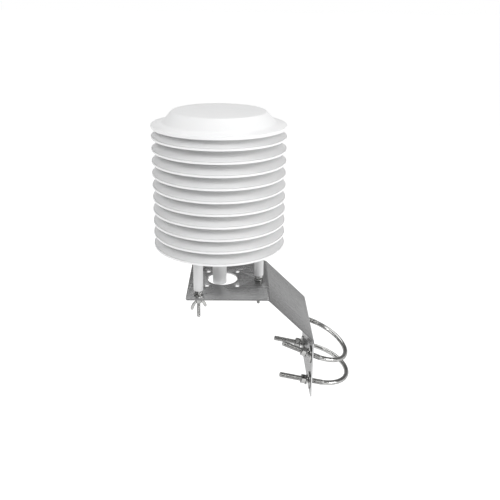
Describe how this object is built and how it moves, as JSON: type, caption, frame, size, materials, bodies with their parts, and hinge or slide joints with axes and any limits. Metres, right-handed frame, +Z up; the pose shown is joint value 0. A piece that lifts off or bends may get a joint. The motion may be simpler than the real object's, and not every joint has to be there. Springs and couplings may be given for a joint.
{
  "type": "solar radiation shield",
  "caption": "Louvred radiation shield for an air temperature and humidity probe, on a bent steel arm with U-bolts for a mast.",
  "frame": {"origin": "centre of the arm flange's mast face, midway between the two U-bolts", "axes": "+Z up along the shield's axis, +X horizontally from the arm towards the mast, +Y across the flange"},
  "size_m": [0.2991, 0.19, 0.4162],
  "materials": {
    "white_plastic": "satin moulded",
    "stainless_sheet": "brushed",
    "bright_steel": "bright zinc",
    "dark_plastic": "fine texture",
    "black_rubber": "matt",
    "sintered_bronze": "sintered",
    "circuit_board": "solder mask"
  },
  "bodies": {
    "root": {"cap": "white_plastic", "louvre_01": "white_plastic", "louvre_02": "white_plastic", "louvre_03": "white_plastic", "louvre_04": "white_plastic", "louvre_05": "white_plastic", "louvre_06": "white_plastic", "louvre_07": "white_plastic", "louvre_08": "white_plastic", "louvre_09": "white_plastic", "base_louvre": "white_plastic", "tie_rod_1": "bright_steel", "tie_rod_2": "bright_steel", "tie_rod_3": "bright_steel", "standoff_1": "white_plastic", "standoff_2": "white_plastic", "standoff_3": "white_plastic", "tie_nut_1": "bright_steel", "tie_nut_2": "bright_steel", "tie_nut_3": "bright_steel", "cap_nut_1": "bright_steel", "cap_nut_2": "bright_steel", "cap_nut_3": "bright_steel", "plate_washer_1": "bright_steel", "plate_washer_2": "bright_steel", "plate_washer_3": "bright_steel", "holder_tube": "white_plastic", "tube_lock_nut": "dark_plastic", "probe_body": "dark_plastic", "probe_cable_gland": "black_rubber", "lower_probe_bush": "black_rubber", "upper_probe_bush": "black_rubber", "filter_cap": "sintered_bronze", "sensor_board": "circuit_board", "bracket": "stainless_sheet", "upper_front_big_washer": "bright_steel", "upper_rear_big_washer": "bright_steel", "lower_front_big_washer": "bright_steel", "lower_rear_big_washer": "bright_steel", "upper_front_spring_washer": "bright_steel", "upper_rear_spring_washer": "bright_steel", "lower_front_spring_washer": "bright_steel", "lower_rear_spring_washer": "bright_steel"},
    "upper_u_bolt": {"upper_u_bolt": "bright_steel"},
    "upper_front_nut": {"upper_front_nut": "bright_steel"},
    "upper_rear_nut": {"upper_rear_nut": "bright_steel"},
    "lower_u_bolt": {"lower_u_bolt": "bright_steel"},
    "lower_front_nut": {"lower_front_nut": "bright_steel"},
    "lower_rear_nut": {"lower_rear_nut": "bright_steel"},
    "under_washer_1": {"under_washer_1": "bright_steel"},
    "wing_nut_1": {"wing_nut_1": "bright_steel"},
    "under_washer_2": {"under_washer_2": "bright_steel"},
    "wing_nut_2": {"wing_nut_2": "bright_steel"},
    "under_washer_3": {"under_washer_3": "bright_steel"},
    "wing_nut_3": {"wing_nut_3": "bright_steel"}
  },
  "joints": [
    {"name": "upper_u_bolt_draw", "type": "slide", "parent": "root", "child": "upper_u_bolt", "axis": [-0.9268, 0.0664, 0.3697], "range_m": [-0.01411, 0.00706]},
    {"name": "upper_front_nut_turn", "type": "hinge", "parent": "root", "child": "upper_front_nut", "pos_m": [-0.01495, -0.05257, 0.02729], "axis": [0.9268, -0.0664, -0.3697], "range_deg": [-3672, 1872]},
    {"name": "upper_rear_nut_turn", "type": "hinge", "parent": "root", "child": "upper_rear_nut", "pos_m": [-0.0073, 0.05416, 0.02729], "axis": [0.9268, -0.0664, -0.3697], "range_deg": [-3672, 1872]},
    {"name": "lower_u_bolt_draw", "type": "slide", "parent": "root", "child": "lower_u_bolt", "axis": [-0.974, -0.0272, 0.225], "range_m": [-0.01411, 0.00706]},
    {"name": "lower_front_nut_turn", "type": "hinge", "parent": "root", "child": "lower_front_nut", "pos_m": [-0.01019, -0.05381, -0.02015], "axis": [0.974, 0.0272, -0.225], "range_deg": [-3672, 1872]},
    {"name": "lower_rear_nut_turn", "type": "hinge", "parent": "root", "child": "lower_rear_nut", "pos_m": [-0.01318, 0.05315, -0.02015], "axis": [0.974, 0.0272, -0.225], "range_deg": [-3672, 1872]},
    {"name": "wing_nut_1_travel", "type": "slide", "parent": "root", "child": "under_washer_1", "axis": [0, 0, -1], "range_m": [0, 0.01905]},
    {"name": "wing_nut_1_turn", "type": "hinge", "parent": "under_washer_1", "child": "wing_nut_1", "pos_m": [-0.16692, -0.05548, 0.1157], "axis": [0, 0, -1], "range_deg": [0, 6552]},
    {"name": "wing_nut_2_travel", "type": "slide", "parent": "root", "child": "under_washer_2", "axis": [0, 0, -1], "range_m": [0, 0.01905]},
    {"name": "wing_nut_2_turn", "type": "hinge", "parent": "under_washer_2", "child": "wing_nut_2", "pos_m": [-0.07971, -0.00287, 0.1157], "axis": [0, 0, -1], "range_deg": [0, 6552]},
    {"name": "wing_nut_3_travel", "type": "slide", "parent": "root", "child": "under_washer_3", "axis": [0, 0, -1], "range_m": [0, 0.01905]},
    {"name": "wing_nut_3_turn", "type": "hinge", "parent": "under_washer_3", "child": "wing_nut_3", "pos_m": [-0.16887, 0.04635, 0.1157], "axis": [0, 0, -1], "range_deg": [0, 6552]}
  ],
  "couplings": [
    {"joint": "upper_front_nut_turn", "follows": "upper_u_bolt_draw", "rad_per_m": 4452.7},
    {"joint": "upper_rear_nut_turn", "follows": "upper_u_bolt_draw", "rad_per_m": 4452.7},
    {"joint": "lower_front_nut_turn", "follows": "lower_u_bolt_draw", "rad_per_m": 4452.7},
    {"joint": "lower_rear_nut_turn", "follows": "lower_u_bolt_draw", "rad_per_m": 4452.7},
    {"joint": "wing_nut_1_turn", "follows": "wing_nut_1_travel", "rad_per_m": 5936.9},
    {"joint": "wing_nut_2_turn", "follows": "wing_nut_2_travel", "rad_per_m": 5936.9},
    {"joint": "wing_nut_3_turn", "follows": "wing_nut_3_travel", "rad_per_m": 5936.9}
  ]
}
